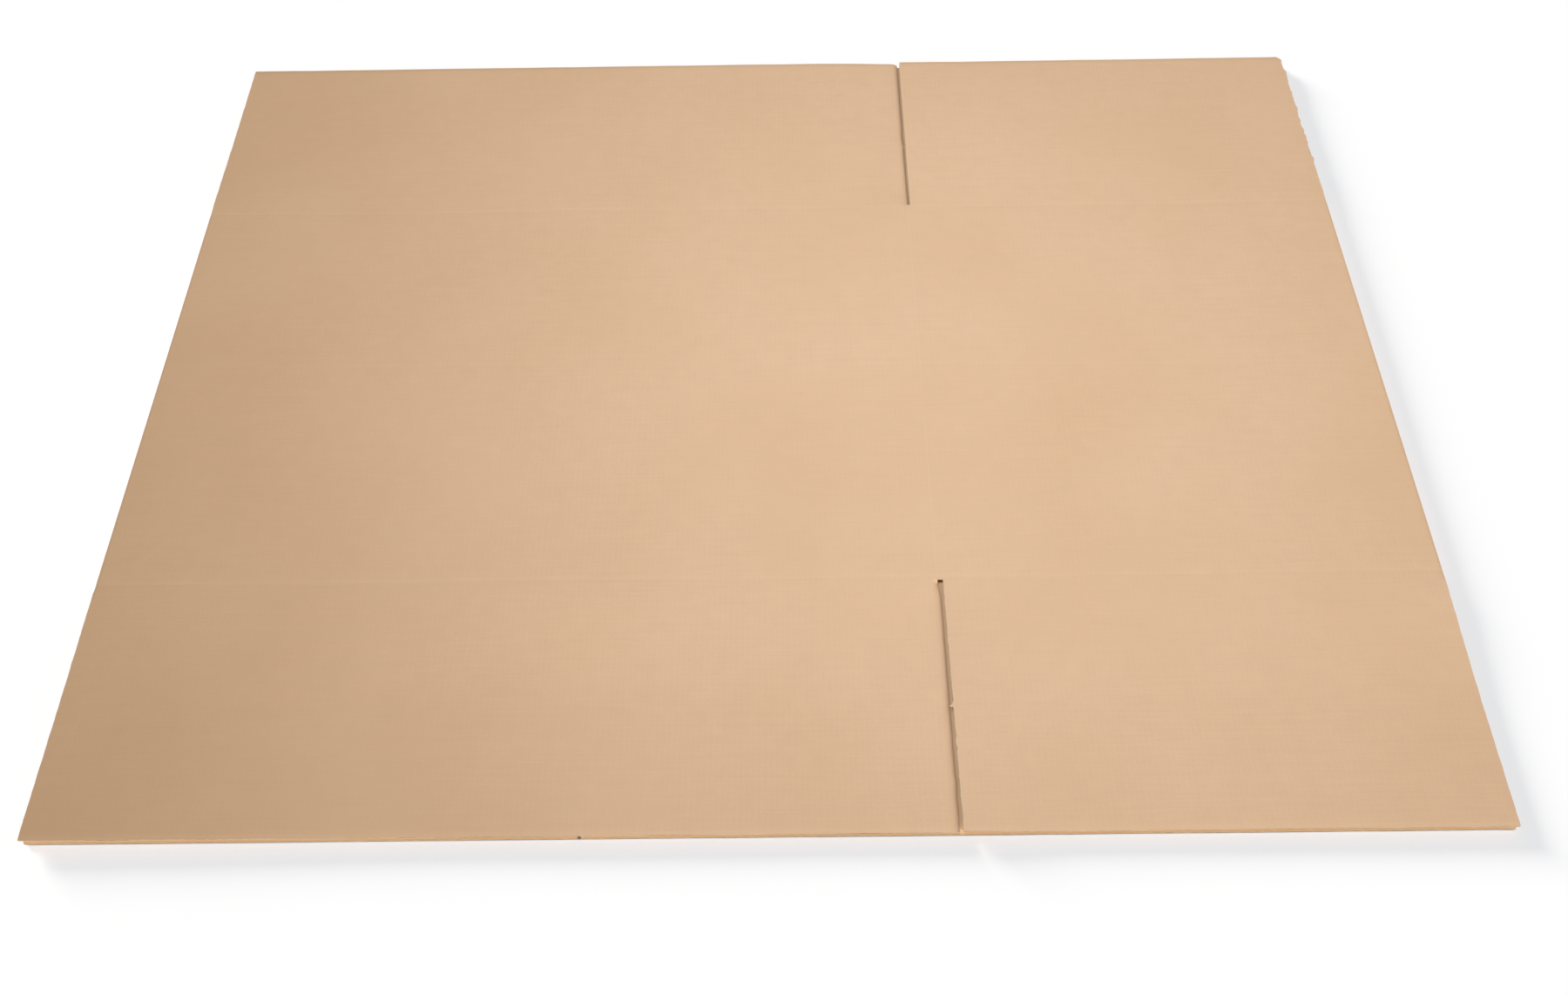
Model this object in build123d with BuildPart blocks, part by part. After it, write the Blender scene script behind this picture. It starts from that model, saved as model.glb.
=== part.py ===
from build123d import *
from math import hypot
import os

os.makedirs("parts", exist_ok=True)

# A slotted corrugated box as it leaves the folder-gluer: a ring of four panels, folded flat at
# two opposite corners and glued along one joint, with a row of flaps at each end.
# X runs across the panels, Y along the flutes, Z up. The origin is under the middle, on the floor.

# Sizes of the box that it folds up to, in millimetres, from crease to crease
long_panel = 588.0
short_panel = 352.0
body_depth = 354.0

# The corrugated board
board = 3.9  # liner, fluted paper and liner
liner = 0.3
fluted_paper = 0.25
flute_pitch = 7.82
flute_side = 4.0  # least board left beside the last flute, where the knives crush it
flap_root = 3.0  # beside the crease, where the flutes are crushed shut
crushed_fold = 2.9  # board left in the nose of a flat fold
fold_nose = 4.3  # how far the nose stands out from where the fold starts

# The glued joint
tab_reach = 35.0
tab_root = 6.0  # part of the tab that is still over its own panel
tab_pressed = 2.2  # thickness left by the rollers
tab_taper = 12.0  # shortening of the free edge at each end
tab_end_gap = 4.0  # from the flap crease to the root of the tab
tab_clearance = 0.3  # between the tab and the layer over it
seam_gap = 2.0

# Slots and creases
slot_width = 4.5
flap_inset = 1.0  # of a flap's side from the nose of the fold beside it
crease_width = 5.0
crease_outside = 0.35  # depth of a crease in the outer liner
crease_inside = 0.9
corner_crease_width = 4.0
corner_crease_outside = 0.25

# Wear
bend_mark_place = 9.0  # of the faint line from bending the flat box in half, along Y
bend_mark_width = 3.0
bend_mark_depth = 0.2
worn_corner_x = 5.0
worn_corner_y = 6.0

# Worked out from the sizes above
flap_length = short_panel / 2  # two outer flaps meet in the middle
layer_gap = tab_pressed + tab_clearance
stack = 2 * board + layer_gap
upper_level = board + layer_gap
half_width = (long_panel + short_panel) / 2
half_body = body_depth / 2
half_sheet = half_body + flap_length
root_middle = half_body + flap_root / 2
fold_start = half_width - fold_nose
flap_row_width = 2 * (half_width - flap_inset)  # the slot at each fold opens flat with it
upper_corner = long_panel - half_width
lower_corner = short_panel - half_width
flap_crease = half_body - crease_width / 2
tab_half_length = half_body - crease_width - tab_end_gap

# The flutes as straight legs from liner to liner, and the channels between them
flute_height = board - 2 * liner
leg_length = hypot(flute_pitch / 2, flute_height)
leg_width = fluted_paper * leg_length / flute_height  # of a leg, along X
channel_width = flute_pitch - leg_width
channel_apex = flute_height / 2 - flute_height * leg_width / flute_pitch


def channel(up):
    """Cuts one channel from a section: its base is on the upper liner (1) or the lower one (-1)."""
    base = up * flute_height / 2
    Polygon(
        (-channel_width / 2, base),
        (channel_width / 2, base),
        (0, -up * channel_apex),
        align=None,
        mode=Mode.SUBTRACT,
    )


def pressed_section(plane, middle, width, dents):
    """Makes the section of a line pressed into faces of the board, in mm on a plane.

    Each dent is the level of the face and the depth, positive downwards. Its floor is as wide as
    each of its two slopes."""
    half = width / 2
    half_floor = width / 6
    with BuildSketch(plane) as section:
        for level, depth in dents:
            with BuildLine():
                Polyline(
                    (middle - half, level),
                    (middle - half_floor, level - depth),
                    (middle + half_floor, level - depth),
                    (middle + half, level),
                    close=True,
                )
            make_face()
    return section.sketch


layers = ((0.0, lower_corner), (upper_level, upper_corner))  # level and corner of each

with BuildPart() as flattened_box:
    # The panels of each layer, with the crushed roots of the flaps
    for level, corner in layers:
        with BuildSketch(Plane.XY.offset(level)):
            Rectangle(2 * fold_start, body_depth)
            with Locations((0, root_middle), (0, -root_middle)):
                Rectangle(flap_row_width, flap_root)
            with Locations((corner, root_middle), (corner, -root_middle)):
                Rectangle(slot_width, flap_root, mode=Mode.SUBTRACT)
        extrude(amount=board)

    # The nose of each flat fold, over the depth of the body
    for side in (-1, 1):
        start, tip = side * fold_start, side * half_width
        inner_tip = side * (half_width - crushed_fold)
        with BuildSketch(Plane.XZ):
            with BuildLine():
                ThreePointArc((start, 0), (tip, stack / 2), (start, stack))
                Line((start, stack), (start, upper_level))
                ThreePointArc((start, upper_level), (inner_tip, stack / 2), (start, board))
                Line((start, board), (start, 0))
            make_face()
        extrude(amount=half_body, both=True)

    # Joint in the lower layer: the panels butt with a small gap, and the tab is glued inside
    with BuildSketch(Plane.XY):
        with Locations((lower_corner, 0)):
            Rectangle(seam_gap, body_depth)
    extrude(amount=board, mode=Mode.SUBTRACT)
    with BuildSketch(Plane.XY.offset(board)):
        with BuildLine():
            Polyline(
                (lower_corner + tab_root, tab_half_length),
                (lower_corner, tab_half_length),
                (lower_corner - tab_reach, tab_half_length - tab_taper),
                (lower_corner - tab_reach, tab_taper - tab_half_length),
                (lower_corner, -tab_half_length),
                (lower_corner + tab_root, -tab_half_length),
                close=True,
            )
        make_face()
    extrude(amount=tab_pressed)

    # Flap creases, pressed right across both layers from outside and inside
    for middle in (-flap_crease, flap_crease):
        crease = pressed_section(
            Plane.YZ,
            middle,
            crease_width,
            (
                (0.0, -crease_outside),
                (board, crease_inside),
                (upper_level, -crease_inside),
                (stack, crease_outside),
            ),
        )
        extrude(crease, amount=fold_start, both=True, mode=Mode.SUBTRACT)

    # Corner crease between the two panels of the upper layer
    corner_crease = pressed_section(
        Plane.XZ,
        upper_corner,
        corner_crease_width,
        ((upper_level, -crease_inside), (stack, corner_crease_outside)),
    )
    extrude(corner_crease, amount=half_body - crease_width, both=True, mode=Mode.SUBTRACT)

    # Faint mark where the flat box was once bent in half
    bend_mark = pressed_section(
        Plane.YZ, bend_mark_place, bend_mark_width, ((stack, bend_mark_depth),)
    )
    extrude(bend_mark, amount=fold_start, both=True, mode=Mode.SUBTRACT)

    # The flaps of both layers, drawn in section across the flutes, on both sides of each slot
    for end in (-1, 1):
        with BuildSketch(Plane.XZ.offset(-end * (half_body + flap_root))):
            for level, corner in layers:
                for side in (-1, 1):
                    outer_side = side * flap_row_width / 2
                    slot_side = corner + side * slot_width / 2
                    flap_width = abs(outer_side - slot_side)
                    flutes = int((flap_width - 2 * flute_side) // flute_pitch)
                    with Locations(((outer_side + slot_side) / 2, level + board / 2)):
                        Rectangle(flap_width, board)
                        with GridLocations(flute_pitch, 0, flutes, 1):
                            channel(1)
                        with GridLocations(flute_pitch, 0, flutes - 1, 1):
                            channel(-1)
        extrude(amount=-end * (flap_length - flap_root))

    # Worn rear right corner of the upper layer
    with BuildSketch(Plane.XY.offset(upper_level)):
        with BuildLine():
            Polyline(
                (flap_row_width / 2, half_sheet),
                (flap_row_width / 2 - worn_corner_x, half_sheet),
                (flap_row_width / 2, half_sheet - worn_corner_y),
                close=True,
            )
        make_face()
    extrude(amount=board, mode=Mode.SUBTRACT)

flattened_box.part.label = "flattened_box"
export_step(flattened_box.part, "parts/flattened_box.step")
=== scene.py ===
import logging
import math
from collections.abc import Sequence
from dataclasses import astuple, dataclass, replace
from enum import Enum

import bpy
import numpy as np
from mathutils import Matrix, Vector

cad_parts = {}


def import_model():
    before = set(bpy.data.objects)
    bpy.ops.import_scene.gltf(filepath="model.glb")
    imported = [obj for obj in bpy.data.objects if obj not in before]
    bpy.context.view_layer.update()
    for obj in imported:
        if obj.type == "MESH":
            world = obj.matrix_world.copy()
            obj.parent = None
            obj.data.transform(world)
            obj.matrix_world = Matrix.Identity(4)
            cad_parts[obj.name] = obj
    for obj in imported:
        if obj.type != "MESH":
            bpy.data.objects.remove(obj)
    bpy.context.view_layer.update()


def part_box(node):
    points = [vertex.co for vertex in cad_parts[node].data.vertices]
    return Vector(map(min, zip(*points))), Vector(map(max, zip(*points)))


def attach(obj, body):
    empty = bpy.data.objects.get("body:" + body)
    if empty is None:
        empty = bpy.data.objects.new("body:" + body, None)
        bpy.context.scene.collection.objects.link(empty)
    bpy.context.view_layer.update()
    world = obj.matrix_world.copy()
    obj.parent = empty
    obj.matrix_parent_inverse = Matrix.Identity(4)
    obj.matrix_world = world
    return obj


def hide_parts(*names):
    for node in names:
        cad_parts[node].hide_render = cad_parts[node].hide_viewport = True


# A slotted corrugated box, folded flat and glued, seen from above on a white floor.
# Lengths in the classes are millimetres; every mesh is written in metres.
# A place on the unfolded sheet is (s, y): s runs round the ring of panels from the glued seam,
# y runs along the flutes. X and Z follow from s by folding the sheet flat.

MM = 0.001
NODE = "flattened_box"
BODY = "root"
SHARP_ANGLE = math.radians(40)  # from which an edge between two faces stays sharp

Array = np.ndarray
Piece = bpy.types.Object
Material = bpy.types.Material
Tree = bpy.types.NodeTree
Socket = bpy.types.NodeSocket

log = logging.getLogger("scene")


# Small helpers


def linear(hex_colour: str) -> tuple[float, ...]:
    """Turns an sRGB hex colour into a linear one.

    Args:
        hex_colour: Six hex digits, with or without a leading #.

    Returns:
        Red, green, blue and an alpha of 1, for a node's colour socket.
    """
    digits = hex_colour.lstrip("#")
    values = [int(digits[i : i + 2], 16) / 255 for i in (0, 2, 4)]
    return *(v / 12.92 if v <= 0.04045 else ((v + 0.055) / 1.055) ** 2.4 for v in values), 1.0


def smooth_step(value: Array) -> Array:
    """Rises from 0 to 1 as 3v^2 - 2v^3, flat outside that range.

    Args:
        value: Where to read it, 0 at the start and 1 at the end.

    Returns:
        The eased share, the shape of the input.
    """
    held = np.clip(value, 0.0, 1.0)
    return held * held * (3 - 2 * held)


def hump(value: Array, middle: float, half_width: float) -> Array:
    """A raised-cosine hump: half of 1 + cos(pi u), where u is the distance over half_width.

    Args:
        value: Where to read it.
        middle: Place of the top.
        half_width: Distance from the top to where it is 0.

    Returns:
        Height from 0 to 1, the shape of the input.
    """
    u = np.clip(np.abs(value - middle) / half_width, 0.0, 1.0)
    return 0.5 * (1 + np.cos(np.pi * u))


def spaced(start: float, end: float, step: float) -> Array:
    """Even places from start to end, both included, at most a step apart."""
    return np.linspace(start, end, max(2, math.ceil((end - start) / step - 1e-6) + 1))


def lines(*parts: Sequence[float] | Array) -> Array:
    """Joins several runs of grid lines into one sorted run without doubles."""
    return np.unique(np.concatenate([np.asarray(p, float) for p in parts]).round(3))


def middles(grid_lines: Array) -> Array:
    """Places halfway between neighbouring grid lines."""
    return (grid_lines[:-1] + grid_lines[1:]) / 2


@dataclass(frozen=True)
class Ripple:
    """Uneven wear along an edge or over a face: a seeded sum of sines.

    Attributes:
        size: Height that its sum seldom passes, in mm.
        longest: Longest wave, in mm.
        shortest: Shortest wave, in mm.
        seed: Seed of the phases.
        waves: How many sines are added.
    """

    size: float
    longest: float
    shortest: float
    seed: int
    waves: int = 7

    def __call__(self, place: Array) -> Array:
        """Adds the sines up at each place, each with a height in step with its own length.

        Args:
            place: Places along the edge, in mm.

        Returns:
            Heights in mm, the shape of the input.
        """
        rng = np.random.default_rng(self.seed)
        lengths = np.geomspace(self.longest, self.shortest, self.waves)
        weights = (lengths / self.longest) ** 0.5
        weights *= self.size / np.sqrt((weights**2).sum())
        phases = rng.uniform(0, 2 * np.pi, self.waves)
        angles = 2 * np.pi * np.asarray(place)[..., None] / lengths + phases
        return (np.sin(angles) * weights).sum(axis=-1)


# The blank and how it lies


class End(Enum):
    """The two rows of flaps, by the sign of their Y."""

    REAR = 1
    FRONT = -1


@dataclass(frozen=True)
class Board:
    """Single-wall corrugated board, in mm."""

    thickness: float = 3.9
    liner: float = 0.3
    fluted_paper: float = 0.25
    flute_pitch: float = 7.82
    crushed_fold: float = 2.9  # thickness in the nose of a flat fold


@dataclass
class Blank:
    """Sizes of the flattened box in mm, the same as the CAD model's, and its fold.

    Round the ring from the seam: lower long panel, right fold, upper short panel, upper corner,
    upper long panel, left fold, lower short panel, seam.
    """

    board: Board = Board()
    long_panel: float = 588.0
    short_panel: float = 352.0
    body_depth: float = 354.0
    layer_gap: float = 2.5
    fold_nose: float = 4.3
    nose_fade: float = 6.0  # past the body, where the noses go over into flat flaps
    slot_width: float = 4.5
    flap_inset: float = 1.0  # of a flap's side from the nose of the fold beside it
    seam_gap: float = 2.0
    flap_root: float = 3.0
    crease_width: float = 5.0

    def __post_init__(self) -> None:
        """Works out the places that follow from the sizes."""
        self.half_slot = self.slot_width / 2
        self.stack = 2 * self.board.thickness + self.layer_gap  # height of both layers
        self.half_body = self.body_depth / 2  # Y of the slots' inner ends
        self.half_sheet = self.half_body + self.short_panel / 2  # Y of the flaps' ends
        self.flap_crease = self.half_body - self.crease_width / 2  # Y of its middle
        # s of each corner, and all the way round to the seam again
        self.right_fold = self.long_panel
        self.upper_corner = self.long_panel + self.short_panel
        self.left_fold = self.upper_corner + self.long_panel
        self.ring = 2 * self.upper_corner
        self.half_width = self.ring / 4  # X at the noses of the folds
        # Each corner and how far the flaps beside it stay back from it
        slot, inset = self.half_slot, self.flap_inset
        self.cuts = [
            (0.0, slot), (self.right_fold, inset), (self.upper_corner, slot),
            (self.left_fold, inset), (self.ring, slot),
        ]
        # Where the flaps of each panel begin and end
        pairs = zip(self.cuts[:-1], self.cuts[1:])
        self.panel_cuts = [(a + back_a, b - back_b) for (a, back_a), (b, back_b) in pairs]

    def nearer_fold(self, s: Array) -> tuple[Array, Array]:
        """Finds the nearer fold of each place round the ring.

        Args:
            s: Places round the ring.

        Returns:
            The fold's side, 1 on the right and -1 on the left, and how far each place is past its
            nose, more than 0 in the upper layer.
        """
        on_right = s < (self.right_fold + self.left_fold) / 2
        side = np.where(on_right, 1.0, -1.0)
        return side, side * (s - np.where(on_right, self.right_fold, self.left_fold))

    def is_upper(self, s: Array) -> Array:
        """True on the panels of the upper layer."""
        return self.nearer_fold(s)[1] > 0

    def flat_x(self, s: Array) -> Array:
        """X of each s when the sheet is folded at sharp corners, inwards from the nearer fold."""
        side, past = self.nearer_fold(s)
        return side * (self.half_width - np.abs(past))

    def fold(self, s: Array, y: Array) -> tuple[Array, Array, Array]:
        """Folds the outer face flat.

        Beside a fold the body follows half an ellipse, X = start + nose cos(a) and
        Z = half the stack (1 + sin(a)), with a from -90 to 90 degrees in step with s. In the flaps,
        which a slot parts there, each layer runs straight on; their first few mm blend the two.

        Args:
            s: Places round the ring.
            y: Places along the flutes, of the same shape.

        Returns:
            The points (X, Y, Z) in mm, the unit vectors from them into the board, and the share
            of the fold's squeeze at each, which is cos(a)^3 and 1 at a nose.
        """
        side, past = self.nearer_fold(s)
        start = self.half_width - self.fold_nose
        angle = np.clip(past / self.fold_nose, -1, 1) * np.pi / 2
        inwards = np.maximum(np.abs(past) - self.fold_nose, 0)
        half_stack = self.stack / 2
        bent_x = side * (start - inwards + self.fold_nose * np.cos(angle))
        bent_z = half_stack * (1 + np.sin(angle))
        out_x = side * np.cos(angle) / self.fold_nose
        out_z = np.sin(angle) / half_stack
        bend = 1 - smooth_step((np.abs(y) - self.half_body) / self.nose_fade)
        upper = past > 0
        x = bend * bent_x + (1 - bend) * self.flat_x(s)
        z = bend * bent_z + (1 - bend) * np.where(upper, self.stack, 0.0)
        in_x = -bend * out_x
        in_z = -bend * out_z - (1 - bend) * np.where(upper, 1.0, -1.0) / half_stack
        length = np.hypot(in_x, in_z)
        points = np.stack([x, y, z], axis=-1)
        normals = np.stack([in_x / length, np.zeros_like(x), in_z / length], axis=-1)
        return points, normals, bend * np.cos(angle) ** 3


@dataclass(frozen=True)
class Nick:
    """A hump-shaped nick in a cut edge, or a bulge where its depth is negative, in mm."""

    depth: float
    y: float
    half_width: float


@dataclass(frozen=True)
class Wear:
    """How this one box departs from a perfect blank, in mm.

    A pair is for the front and the rear row of flaps, where no comment says otherwise. Left and
    right are as the camera sees them. An outside share is the part of a crush that the outer face
    takes, and the inner face takes the rest.
    """

    blank: Blank
    crease_outside: float = 0.07
    crease_inside: float = 0.8
    corner_crease_width: float = 4.0
    corner_crease_outside: float = 0.06
    corner_crease_stop: float = 8.0  # before the slots, fading out over the next length
    corner_crease_fade: float = 4.0
    bend_mark_depth: float = 0.05
    bend_mark_width: float = 3.0
    bend_mark_y: float = 11.0
    bend_mark_slope: float = -0.010
    # Crush beside the cuts; the front ends are pressed nearly shut, and no flute shows there
    edge_crush: float = 0.45
    edge_crush_reach: float = 3.2
    end_crush: tuple[float, float] = (2.5, 1.4)
    end_crush_reach: float = 3.4
    crush_outside: tuple[float, float] = (0.06, 0.25)
    lower_crush_outside: float = 0.2
    # The blunt knife pressed the left side of each upper slot down and out into the slot
    knife_drag: tuple[float, float] = (2.7, 2.295)
    knife_drag_reach: float = 3.4
    knife_drag_start: float = 2.0  # past the slot's inner end, until it is full
    knife_drag_side: float = 2.5  # how far that side reaches into the slot
    mouth_run: float = 14.0  # from the front slot's inner end, where it reaches less
    mouth_share: float = 0.75  # of its reach that is missing there
    edge_past: float = 0.5  # beyond a perfect cut, up to where a point still counts as its edge
    # Levels of the upper layer: how far it sags, and how far what holds it up reaches
    panel_sag: float = 1.5
    flap_sag: tuple[float, float] = (2.4, 0.8)
    slot_left_sag: float = 2.4
    slot_right_sag: float = 0.3
    slot_side_reach: float = 60.0
    flap_sag_run: float = 0.55  # share of a flap's length in which it comes down
    slot_left_run: float = 0.12  # the same on the left of the slots
    front_left_sag: float = 0.6
    front_left_x: float = -455.0
    front_left_reach: float = 300.0
    fold_hold: float = 4.0
    fold_hold_reach: float = 140.0
    tab_hold_x: float = -132.0
    tab_hold: float = 24.0
    tab_hold_reach: float = 130.0
    nose_hold: float = 0.25  # share of the stack, above and below a nose's middle
    settled: float = 0.2  # all of the upper layer but its folds
    wave_height: float = 0.12
    cross_wave_height: float = 0.08
    lower_end_lift: float = 0.2
    lower_wave: float = 70.0
    lower_phase: tuple[float, float] = (0.0, 2.0)
    # Places and unevenness of the cuts
    slot_offset: tuple[float, float] = (2.2, 0.5)
    rear_slot_pinch: float = 0.25
    lower_slot_pinch: float = 1.2
    fold_side_inset: float = 0.9
    cut_ripple: Ripple = Ripple(0.10, 26.0, 3.0, 12)  # its seed rises by 1 for each edge
    cut_fade: float = 5.0  # from a cut into the board
    cut_lead_in: float = 8.0  # before a slot's inner end, where the shifts start
    cut_ease: float = 6.0  # past it, where the ripple reaches its height
    end_ripple: Ripple = Ripple(0.10, 60.0, 5.0, 71)
    left_nicks: tuple[Nick, ...] = (Nick(0.55, 262, 9), Nick(-0.5, 248.5, 4), Nick(-0.6, -321, 7))
    right_nicks: tuple[Nick, ...] = (Nick(-0.8, -270, 3.5), Nick(0.5, -343, 6), Nick(0.5, 351, 5))
    ragged_ripple: Ripple = Ripple(0.35, 12.0, 3.5, 91)  # on the right of the front slot
    ragged_from: float = 262.0  # distances in front of the middle
    ragged_to: float = 322.0
    ragged_fade: float = 5.0
    torn_ripple: Ripple = Ripple(0.75, 36.0, 7.0, 37)  # on the rear flap's right side
    torn_from: float = 214.0
    torn_fade: float = 12.0
    torn_bulge: float = 1.2  # at most
    worn_corner: tuple[float, float] = (5.0, 6.0)  # in X and Y
    worn_corner_curve: float = 1.5
    worn_corner_squeeze: float = 0.02  # share of what lay past the worn edge

    def bend_mark(self, x: Array, y: Array, upper: Array) -> Array:
        """Finds the faint line across the upper layer, which runs askew as y = place + slope x.

        Args:
            x, y: Places on the flat box.
            upper: True in the upper layer.

        Returns:
            Share of its depth, 0 to 1.
        """
        middle = self.bend_mark_y + self.bend_mark_slope * x
        return np.where(upper, hump(y - middle, 0.0, self.bend_mark_width / 2), 0.0)

    def creases(self, s: Array, y: Array) -> tuple[Array, Array]:
        """Finds the flap creases and the corner crease, humps across their widths.

        Args:
            s, y: Places on the sheet.

        Returns:
            Shares of the flap creases' depth and of the corner crease's, 0 to 1.
        """
        blank = self.blank
        flap = hump(np.abs(y), blank.flap_crease, blank.crease_width / 2)
        past_stop = np.abs(y) - blank.half_body + self.corner_crease_stop
        body = 1 - smooth_step(past_stop / self.corner_crease_fade)
        return flap, hump(s, blank.upper_corner, self.corner_crease_width / 2) * body

    def crush(self, s: Array, y: Array) -> Array:
        """Thickness that the knives left off: at a slot's sides and end, and at a flap's end.

        Each falls off over its reach as 1 - (3v^2 - 2v^3), where v is the distance from the cut
        over the reach, and the larger of the two counts.

        Args:
            s, y: Places on the sheet.

        Returns:
            Lost thickness in mm.
        """
        blank = self.blank
        to_side = np.minimum.reduce([np.abs(s - corner) - back for corner, back in blank.cuts])
        beyond = np.maximum(blank.half_body - np.abs(y), 0)
        to_slot = np.hypot(np.maximum(to_side, 0), beyond)
        at_slot = self.edge_crush * (1 - smooth_step(to_slot / self.edge_crush_reach))
        to_end = (blank.half_sheet - np.abs(y)) / self.end_crush_reach
        at_end = np.where(y < 0, *self.end_crush) * (1 - smooth_step(to_end))
        return np.maximum(at_slot, at_end)

    def faces(self, s: Array, y: Array, squeeze: Array) -> tuple[Array, Array]:
        """Depths of the board's outer and inner face below the perfect outer face.

        The outer face sinks by its creases and its share of the crush, and on the left of the
        upper slots also by the knife's drag, which grows towards the cut as (1 - v)^2, where v is
        the distance from it over the reach. The inner face is at the board's thickness, less its
        creases, its share of the crush, and the squeeze of a fold's nose.

        Args:
            s, y: Places on the sheet.
            squeeze: Share squeezed out by a fold, from Blank.fold.

        Returns:
            Depth of the outer and of the inner face, in mm.
        """
        blank, board = self.blank, self.blank.board
        front, upper = y < 0, blank.is_upper(s)
        flap, corner = self.creases(s, y)
        crush = self.crush(s, y)
        outside = np.where(upper, np.where(front, *self.crush_outside), self.lower_crush_outside)
        outer = flap * self.crease_outside + corner * self.corner_crease_outside
        outer = outer + self.bend_mark(blank.flat_x(s), y, upper) * self.bend_mark_depth
        outer = outer + crush * outside
        from_cut = s - blank.upper_corner - blank.half_slot
        dragged = (1 - np.clip(from_cut / self.knife_drag_reach, 0, 1)) ** 2 * (from_cut > -self.edge_past)
        drag = smooth_step((np.abs(y) - blank.half_body) / self.knife_drag_start)
        drag = drag * np.where(front, *self.knife_drag)
        inner = board.thickness - np.maximum(flap, corner) * self.crease_inside
        inner = inner - crush * (1 - outside) - squeeze * (board.thickness - board.crushed_fold)
        return outer + drag * dragged, inner

    def lift(self, x: Array, y: Array, upper: Array) -> Array:
        """How far each layer lies above its perfect level.

        The folds' noses and the glued tab hold the upper layer up, and its panels sag between
        them. Beyond the creases its flaps sink on to the lower ones. They come down soonest on
        the left of the slots, and stay higher on the right of them and at the front left. Slow
        waves lie over all of it, sin(x/88 + 0.6) cos(y/120 - 0.4) and sin(x/41 + y/150), each
        times its height. The lower layer lies on the floor, and its flaps' ends rise a little, as
        1 + sin(x / span) times v^2, where v is the share of the flap's length.

        Args:
            x, y: Places on the flat box.
            upper: True in the upper layer.

        Returns:
            Rise in mm, below 0 where it sags.
        """
        blank, front = self.blank, y < 0
        along = (np.abs(y) - blank.flap_crease) / (blank.half_sheet - blank.flap_crease)
        off_fold = smooth_step((blank.half_width - self.fold_hold - np.abs(x)) / self.fold_hold_reach)
        off_tab = smooth_step((np.abs(x - self.tab_hold_x) - self.tab_hold) / self.tab_hold_reach)
        panel = -self.panel_sag * off_fold * off_tab
        slot_x = blank.flat_x(np.asarray(blank.upper_corner)) + self.knife_drag_side / 2
        to_slot = slot_x + np.where(front, *self.slot_offset) - x
        beside = 1 - smooth_step(np.abs(to_slot) / self.slot_side_reach)
        on_left = beside * (to_slot > 0)
        sag = np.where(front, *self.flap_sag)
        sag = sag + (self.slot_left_sag - sag) * on_left
        sag = sag + (self.slot_right_sag - sag) * beside * (to_slot <= 0)
        front_left = (1 - smooth_step((x - self.front_left_x) / self.front_left_reach)) * front
        flap = -sag + (sag - self.front_left_sag) * front_left
        run = self.flap_sag_run + (self.slot_left_run - self.flap_sag_run) * on_left
        upper_lift = panel + (flap - panel) * smooth_step(along / run)
        waves = self.wave_height * np.sin(x / 88 + 0.6) * np.cos(y / 120 - 0.4)
        waves = waves + self.cross_wave_height * np.sin(x / 41 + y / 150)
        turn = x / self.lower_wave + np.where(front, *self.lower_phase)
        lower_lift = self.lower_end_lift * np.clip(along, 0, 1) ** 2 * (1 + np.sin(turn))
        return np.where(upper, upper_lift + (waves - self.settled) * off_fold, lower_lift)

    def slot_sides(self, s: Array, y: Array) -> Array:
        """Makes the slots' sides and the flaps' side edges uneven.

        Each edge has its own ripple and marks, which fade out over a few mm from the cut.

        Args:
            s, y: Places on the sheet.

        Returns:
            Shifts in s, in mm.
        """
        blank = self.blank
        shift = np.zeros_like(s)
        edges = [
            (cut, inwards, row)
            for pair in blank.panel_cuts
            for cut, inwards in zip(pair, (1.0, -1.0))
            for row in End
        ]
        for seed, (cut, inwards, row) in enumerate(edges, self.cut_ripple.seed):
            past_end = row.value * y - blank.half_body
            own = blank.is_upper(s) == blank.is_upper(np.asarray(cut + inwards))
            near = (1 - smooth_step(np.abs(s - cut) / self.cut_fade)) * own
            near = near * smooth_step(past_end / self.cut_lead_in + 1)
            rough = replace(self.cut_ripple, seed=seed)(y) * smooth_step(past_end / self.cut_ease)
            shift += near * (rough + self.marks(cut, y)) * inwards
        return shift

    def marks(self, cut: float, y: Array) -> Array:
        """Adds up one cut edge's nicks and bulges and how far it is off its place.

        Args:
            cut: s of the perfect edge.
            y: Places along it.

        Returns:
            Shifts in mm, positive into its flap.
        """
        blank, front = self.blank, y < 0
        offset = np.where(front, *self.slot_offset)
        pinch = -self.rear_slot_pinch * (y > 0)
        if math.isclose(cut, blank.upper_corner + blank.half_slot):  # left side of the upper slots
            mouth = 1 - smooth_step((-y - blank.half_body) / self.mouth_run)
            reach = self.knife_drag_side * (1 - self.mouth_share * mouth * front)
            return self.nicks(self.left_nicks, y) + pinch - offset - reach
        if math.isclose(cut, blank.upper_corner - blank.half_slot):  # right side of the upper slots
            ragged = smooth_step((-y - self.ragged_from) / self.ragged_fade)
            ragged = ragged * (1 - smooth_step((-y - self.ragged_to) / self.ragged_fade))
            return ragged * self.ragged_ripple(y) + self.nicks(self.right_nicks, y) + pinch + offset
        if cut < blank.slot_width or cut > blank.ring - blank.slot_width:  # lower slots
            return np.full_like(y, -self.lower_slot_pinch)
        inset = np.full_like(y, self.fold_side_inset)
        if math.isclose(cut, blank.right_fold + blank.flap_inset):  # upper layer's right side
            torn = smooth_step((y - self.torn_from) / self.torn_fade)
            return inset + torn * np.maximum(self.torn_ripple(y), -self.torn_bulge)
        return inset

    def nicks(self, nicks: Sequence[Nick], y: Array) -> Array:
        """Depth of all nicks together at each place along an edge."""
        return sum(nick.depth * hump(y, nick.y, nick.half_width) for nick in nicks)

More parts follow.
